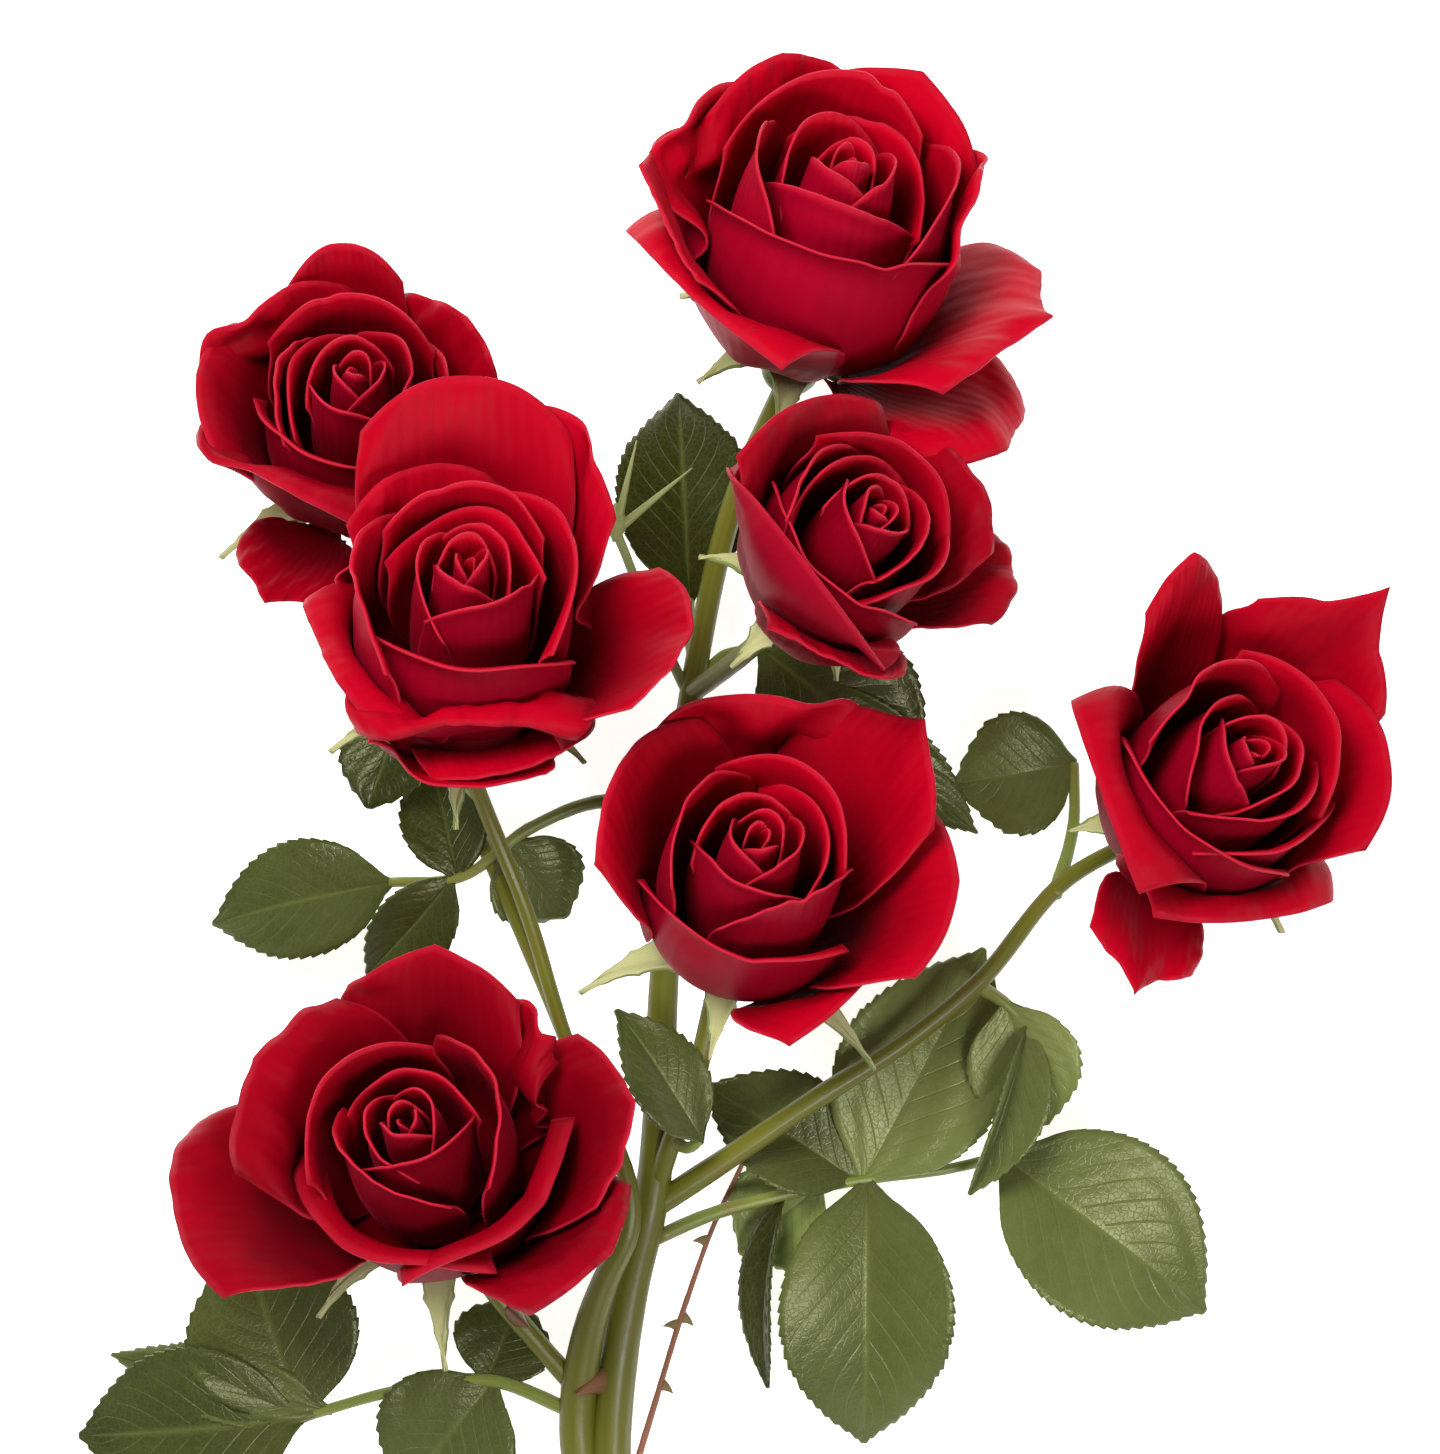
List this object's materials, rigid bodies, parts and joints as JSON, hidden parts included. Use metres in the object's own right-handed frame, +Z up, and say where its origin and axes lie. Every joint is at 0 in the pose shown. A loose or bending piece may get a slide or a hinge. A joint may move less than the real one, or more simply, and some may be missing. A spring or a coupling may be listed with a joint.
{
  "type": "cut spray rose",
  "caption": "Cut spray rose lying down: one branching thorny stem with open double red blooms, calyces, a small bud and serrated compound leaves.",
  "frame": {"origin": "middle of the spray's footprint on the surface that it lies on", "axes": "+Y from the cut end of the stem to the top bloom, +X to the right seen from above, +Z up from the surface towards the open blooms"},
  "size_m": [0.189, 0.395, 0.0699],
  "materials": {
    "petal_red": "velvety, soft sheen, lighter along the rims",
    "petal_dark_red": "velvety, soft sheen, deep crimson in the folds",
    "calyx_green": "matt, pale hairy edges",
    "stem_green": "satin bark with a red flush near the prickles",
    "leaf_green": "waxy top, matt paler underside, pale veins",
    "twig_brown": "dry, dull"
  },
  "bodies": {
    "root": {"bract_centre": "leaf_green", "calyx_centre": "calyx_green", "calyx_left": "calyx_green", "calyx_lower_left": "calyx_green", "calyx_middle": "calyx_green", "calyx_right": "calyx_green", "calyx_top": "calyx_green", "calyx_upper_left": "calyx_green", "heart_centre": "petal_red", "heart_left": "petal_red", "heart_lower_left": "petal_dark_red", "heart_middle": "petal_dark_red", "heart_right": "petal_red", "heart_top": "petal_red", "heart_upper_left": "petal_dark_red", "leaf_behind_top": "leaf_green", "leaf_left": "leaf_green", "leaf_left_upper": "leaf_green", "leaf_lower_left": "leaf_green", "leaf_middle": "leaf_green", "leaf_right_calyx": "leaf_green", "leaf_right_low": "leaf_green", "leaf_right_stalk": "leaf_green", "main_stem": "stem_green", "petal_centre_1": "petal_red", "petal_centre_2": "petal_red", "petal_centre_3": "petal_red", "petal_centre_4": "petal_red", "petal_left_1": "petal_red", "petal_left_2": "petal_red", "petal_left_3": "petal_red", "petal_left_4": "petal_red", "petal_lower_left_1": "petal_dark_red", "petal_lower_left_2": "petal_dark_red", "petal_lower_left_3": "petal_dark_red", "petal_lower_left_4": "petal_dark_red", "petal_middle_1": "petal_dark_red", "petal_middle_2": "petal_dark_red", "petal_middle_3": "petal_dark_red", "petal_right_1": "petal_red", "petal_right_2": "petal_red", "petal_right_3": "petal_red", "petal_right_4": "petal_red", "petal_top_1": "petal_red", "petal_top_2": "petal_red", "petal_top_3": "petal_red", "petal_top_4": "petal_red", "petal_top_5": "petal_red", "petal_upper_left_1": "petal_dark_red", "petal_upper_left_2": "petal_dark_red", "petal_upper_left_3": "petal_dark_red", "petal_upper_left_4": "petal_dark_red", "side_bud": "calyx_green", "side_stem": "stem_green", "stalk_centre": "stem_green", "stalk_lower_left": "stem_green", "stalk_middle": "stem_green", "stalk_right": "stem_green", "stalk_upper_left": "stem_green", "thin_twig": "twig_brown"}
  },
  "joints": []
}
